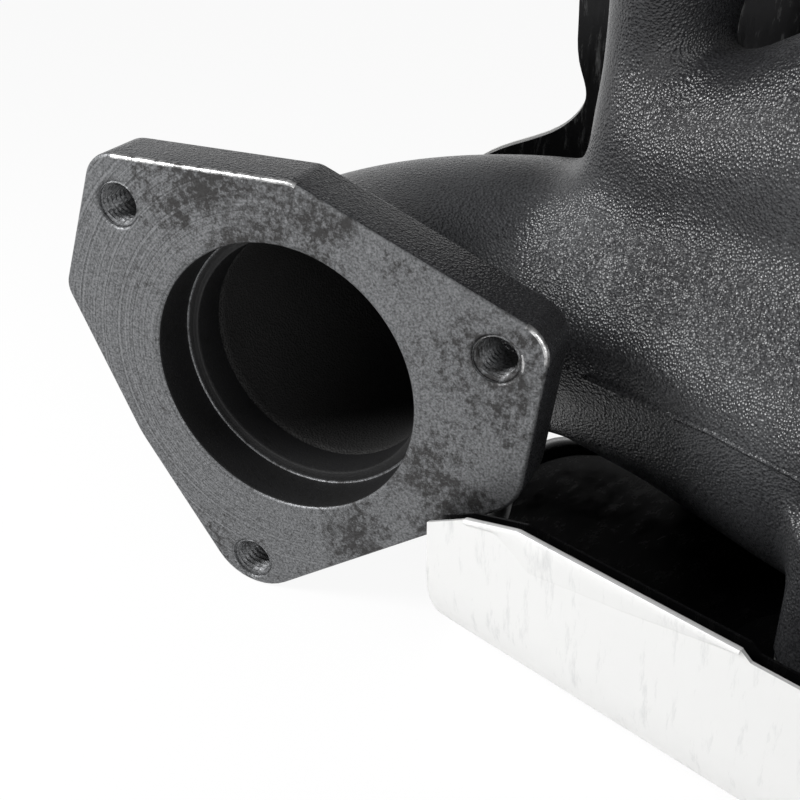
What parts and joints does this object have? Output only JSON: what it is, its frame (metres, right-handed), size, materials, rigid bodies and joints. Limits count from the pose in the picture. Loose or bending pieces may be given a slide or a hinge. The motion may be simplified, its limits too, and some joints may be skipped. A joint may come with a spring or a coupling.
{
  "type": "exhaust manifold",
  "caption": "Cast-iron exhaust manifold with swept runners, a turned three-stud outlet flange and a two-skin heat shield trough.",
  "frame": {"origin": "centre of the outlet bore on its machined face", "axes": "+X along the log away from the outlet, +Y away from the outlet face across the log, +Z towards the cylinder head face"},
  "size_m": [0.4779, 0.1555, 0.1641],
  "materials": {
    "cast_iron": "sand-cast with machined faces",
    "aluminised_steel": "satin aluminised sheet",
    "liner_steel": "smooth bright-rolled liner",
    "ceramic_mat": "needled fibre mat",
    "zinc_steel": "zinc plated",
    "wire_mesh": "knitted wire"
  },
  "bodies": {
    "root": {"manifold_casting": "cast_iron", "pan_outer_skin": "aluminised_steel", "pan_insulation": "ceramic_mat", "pan_inner_skin": "liner_steel", "rear_outer_skin": "aluminised_steel", "rear_insulation": "ceramic_mat", "rear_inner_skin": "liner_steel", "pan_bolts": "zinc_steel", "rear_bolts": "zinc_steel", "pan_washers": "zinc_steel", "rear_washers": "zinc_steel", "pan_sleeves": "zinc_steel", "rear_sleeves": "zinc_steel", "pan_cushions": "wire_mesh", "rear_cushions": "wire_mesh", "seam_rivets": "zinc_steel"}
  },
  "joints": []
}
